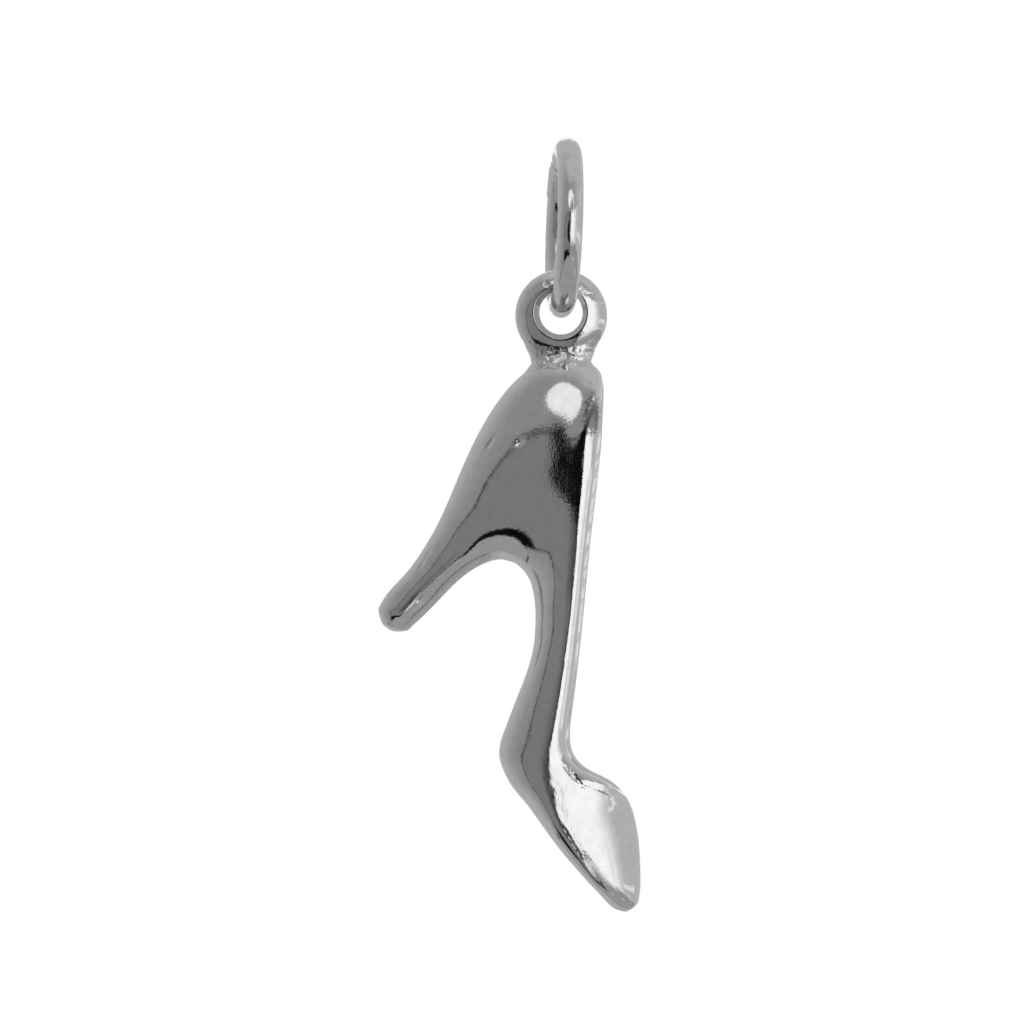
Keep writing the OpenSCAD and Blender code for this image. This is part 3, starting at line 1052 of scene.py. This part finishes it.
bm = bmesh.new()
bmesh.ops.create_circle(bm, segments=WIRE_POINTS, radius=wire_d / 2)
for v in bm.verts:
    v.co = start_way * (ring_r + v.co.x) + ring_axis * v.co.y
bmesh.ops.spin(
    bm, geom=bm.edges[:], cent=(0, 0, 0), axis=ring_axis,
    angle=2 * math.pi - seam_gap, steps=RING_STEPS, use_merge=False,
)
for v in bm.verts:
    flat = ring_turn.transposed() @ v.co
    angle = math.degrees(math.atan2(flat.y, -flat.z)) % 360
    gripped = soft_step((angle - GRIP_FROM) / 2) * soft_step((GRIP_TO - angle) / 3)
    near_end = soft_step((angle - END_FROM) / 4) * soft_step((END_TO - angle) / 4)
    flat.x *= 1 + GRIP_SPREAD * gripped - END_PINCH * near_end
    v.co = ring_turn @ flat
ends = [e for e in bm.edges if e.is_boundary]
bmesh.ops.holes_fill(bm, edges=ends, sides=WIRE_POINTS)
bmesh.ops.recalc_face_normals(bm, faces=bm.faces)
ring_piece = add_piece("jump_ring_wire", bm, "ring", "jump_ring")

# %% [markdown]
# ## The metal
#
# The pieces are silver, and all but the solder were polished on a wheel. A plain
# mirror would look like glass, because real polish is never perfect: the wheel
# leaves the surface gently wavy, the metal has a fine grain, and wear adds
# hairlines. These are far too small to model, so they go into the material as
# three layers of bump. Image textures could carry them, but a noise on Object
# coordinates has no seams, and it stays on the piece when the charm swings. First
# come three short helpers, one for each kind of node.

# %% Tools for the metal
MICRON = 0.001 * MM


def noise_at(tree, place, size, detail):
    """A noise whose lumps are about this size."""
    made = tree.nodes.new("ShaderNodeTexNoise")
    made.inputs["Scale"].default_value = 1 / size
    made.inputs["Detail"].default_value = detail
    tree.links.new(place, made.inputs["Vector"])
    return made.outputs["Fac"]


def spread(tree, value, low, high, to_low, to_high):
    """A value stretched from one range to another, and held within it."""
    made = tree.nodes.new("ShaderNodeMapRange")
    made.inputs["From Min"].default_value = low
    made.inputs["From Max"].default_value = high
    made.inputs["To Min"].default_value = to_low
    made.inputs["To Max"].default_value = to_high
    tree.links.new(value, made.inputs["Value"])
    return made.outputs["Result"]


def bump(tree, height, depth, before=None):
    """A layer of relief, laid over the layer before it."""
    made = tree.nodes.new("ShaderNodeBump")
    made.inputs["Strength"].default_value = 1
    made.inputs["Distance"].default_value = depth
    tree.links.new(height, made.inputs["Height"])
    if before:
        tree.links.new(before, made.inputs["Normal"])
    return made.outputs["Normal"]


print("a micron is", MICRON, "m")

# %% [markdown]
# ### Polished silver
#
# Silver sends back a little under four fifths of the light in this picture, nearly
# without a colour. The roughness is low and cloudy, as if breathed on, and the
# grey varies by a few hundredths, so that no large patch is dead even. The
# hairlines are a noise drawn out twenty times along the way that the wheel ran.

# %% Polished silver
PEEL_SIZE, CLOUD_SIZE, TINT_SIZE, HAIRLINE = 0.45 * MM, 0.6 * MM, 0.25 * MM, 0.035 * MM


def silver(name, grey, rough, grain, grain_depth, peel_depth, scratch_depth, scratch_way):
    """Polished silver with a fine grain, a wavy polish and hairline scratches."""
    made = bpy.data.materials.new(name)
    made.use_nodes = True
    tree = made.node_tree
    link = tree.links.new
    skin = tree.nodes["Principled BSDF"]
    skin.inputs["Metallic"].default_value = 1
    where = tree.nodes.new("ShaderNodeTexCoord").outputs["Object"]
    drawn = tree.nodes.new("ShaderNodeMapping")
    drawn.inputs["Rotation"].default_value = scratch_way
    drawn.inputs["Scale"].default_value = (1, 1, 0.05)
    link(where, drawn.inputs["Vector"])
    hairlines = noise_at(tree, drawn.outputs["Vector"], HAIRLINE, 1)

    normal = bump(tree, noise_at(tree, where, PEEL_SIZE, 2), peel_depth)
    normal = bump(tree, noise_at(tree, where, grain, 3), grain_depth, normal)
    normal = bump(tree, spread(tree, hairlines, 0.62, 0.7, 0, 1), scratch_depth, normal)
    link(normal, skin.inputs["Normal"])

    cloud = noise_at(tree, where, CLOUD_SIZE, 4)
    cloudy = spread(tree, cloud, 0.3, 0.7, rough * 0.7, rough * 1.5)
    link(cloudy, skin.inputs["Roughness"])
    tint = tree.nodes.new("ShaderNodeMix")
    tint.data_type = "RGBA"
    tint.inputs["A"].default_value = (grey * 0.95, grey * 0.945, grey * 0.95, 1)
    tint.inputs["B"].default_value = (grey * 1.03, grey * 1.025, grey * 1.03, 1)
    patches = spread(tree, noise_at(tree, where, TINT_SIZE, 5), 0.35, 0.65, 0, 1)
    link(patches, tint.inputs["Factor"])
    link(tint.outputs["Result"], skin.inputs["Base Color"])
    return made


# %% The metal of each piece
WHEEL_TILT = (0, math.radians(-25), 0)
metals = {
    shoe: silver(
        "cast_silver", grey=0.79, rough=0.07, grain=0.07 * MM, grain_depth=1.6 * MICRON,
        peel_depth=2 * MICRON, scratch_depth=0.25 * MICRON, scratch_way=WHEEL_TILT,
    ),
    eye: silver(
        "eye_silver", grey=0.79, rough=0.08, grain=0.09 * MM, grain_depth=1.8 * MICRON,
        peel_depth=3 * MICRON, scratch_depth=0.3 * MICRON, scratch_way=WHEEL_TILT,
    ),
    solder: silver(
        "solder_silver", grey=0.78, rough=0.13, grain=0.07 * MM, grain_depth=8 * MICRON,
        peel_depth=8 * MICRON, scratch_depth=0, scratch_way=WHEEL_TILT,
    ),
    ring_piece: silver(
        "wire_silver", grey=0.78, rough=0.1, grain=0.1 * MM, grain_depth=2 * MICRON,
        peel_depth=3 * MICRON, scratch_depth=0.5 * MICRON, scratch_way=(0, 0, 0),
    ),
}
for piece, metal in metals.items():
    piece.data.materials.append(metal)
print("metals:", [metal.name for metal in metals.values()])

# %% [markdown]
# ### A painted dark reflection on the counter
#
# At the counter's right shoulder the metal shows a dark reflection over about a
# millimetre. A near card could darken it by reflection, but the eye and the ring
# would show that card as well. So the dark reflection is painted into the shoe's
# metal: an oval with an edge broken up by a noise, inside which the silver's colour
# is painted darker and its roughness is raised.

# %% A painted dark reflection on the counter
# The colour of the painted dark reflection, and the roughness added inside it
PAINTED_REFLECTION_COLOUR = (0.22, 0.215, 0.21, 1)
SPOT_ROUGHER = 0.16
SPOT_GRAIN = 0.08 * MM


def add_painted_dark_reflection(metal, centre, half_size):
    """A painted dark reflection on a metal, rougher too, its edge broken up by a noise."""
    tree = metal.node_tree
    link = tree.links.new
    skin = tree.nodes["Principled BSDF"]
    bright = skin.inputs["Base Color"].links[0].from_socket
    cloudy = skin.inputs["Roughness"].links[0].from_socket
    where = tree.nodes["Texture Coordinate"].outputs["Object"]
    near = tree.nodes.new("ShaderNodeMapping")
    near.inputs["Scale"].default_value = [1 / s for s in half_size]
    near.inputs["Location"].default_value = [-m / s for m, s in zip(centre, half_size)]
    link(where, near.inputs["Vector"])
    away = tree.nodes.new("ShaderNodeVectorMath")
    away.operation = "LENGTH"
    link(near.outputs["Vector"], away.inputs[0])

    ragged = tree.nodes.new("ShaderNodeMath")
    ragged.operation = "ADD"
    broken = spread(tree, noise_at(tree, where, SPOT_GRAIN, 3), 0.3, 0.7, -0.35, 0.35)
    link(away.outputs["Value"], ragged.inputs[0])
    link(broken, ragged.inputs[1])
    share = spread(tree, ragged.outputs["Value"], 0.7, 1.1, 1, 0)

    # The painted dark reflection, mixed into the silver's colour
    dark = tree.nodes.new("ShaderNodeMix")
    dark.data_type = "RGBA"
    dark.inputs["B"].default_value = PAINTED_REFLECTION_COLOUR
    link(share, dark.inputs["Factor"])
    link(bright, dark.inputs["A"])
    link(dark.outputs["Result"], skin.inputs["Base Color"])
    dull = tree.nodes.new("ShaderNodeMath")
    dull.operation = "MULTIPLY_ADD"
    dull.inputs[1].default_value = SPOT_ROUGHER
    link(share, dull.inputs[0])
    link(cloudy, dull.inputs[2])
    link(dull.outputs["Value"], skin.inputs["Roughness"])


spot_size = (9 * PIXEL, 1.5 * MM, 20 * PIXEL)
# Paints the dark reflection onto the shoe's counter
add_painted_dark_reflection(metals[shoe], at_pixel(592, 417, 0.9 * MM), spot_size)
print("the spot is", round(2 * spot_size[2] / MM, 2), "mm tall")

# %% [markdown]
# ## The floor
#
# The charm hangs in the air in front of a plain pale surface. A floor well below it
# catches its soft shadow when the camera looks down. It is matt and pale, lit by
# the white world, and hidden from the metal, which sees the low cards instead.

# %% The floor
FLOOR_R, FLOOR_DROP = 110 * MM, 26 * MM

bm = bmesh.new()
bmesh.ops.create_circle(bm, cap_ends=True, segments=128, radius=FLOOR_R)
for v in bm.verts:
    v.co.z = cad_low.z - FLOOR_DROP
floor = new_object("floor", bm)
pale = bpy.data.materials.new("pale_floor")
pale.use_nodes = True
paint = pale.node_tree.nodes["Principled BSDF"]
paint.inputs["Base Color"].default_value = (0.86, 0.86, 0.86, 1)
paint.inputs["Roughness"].default_value = 0.9
floor.data.materials.append(pale)
floor.visible_glossy = False
print("the floor lies", round(FLOOR_DROP / MM), "mm below the toe")

# %% [markdown]
# ## The sizes, and the end
#
# A finer piece must still be the size of its solid, so the CAD's box is printed here.

# %% The sizes, and the end
print("cad   ", [round(v / MM, 3) for v in (*cad_low, *cad_high)])
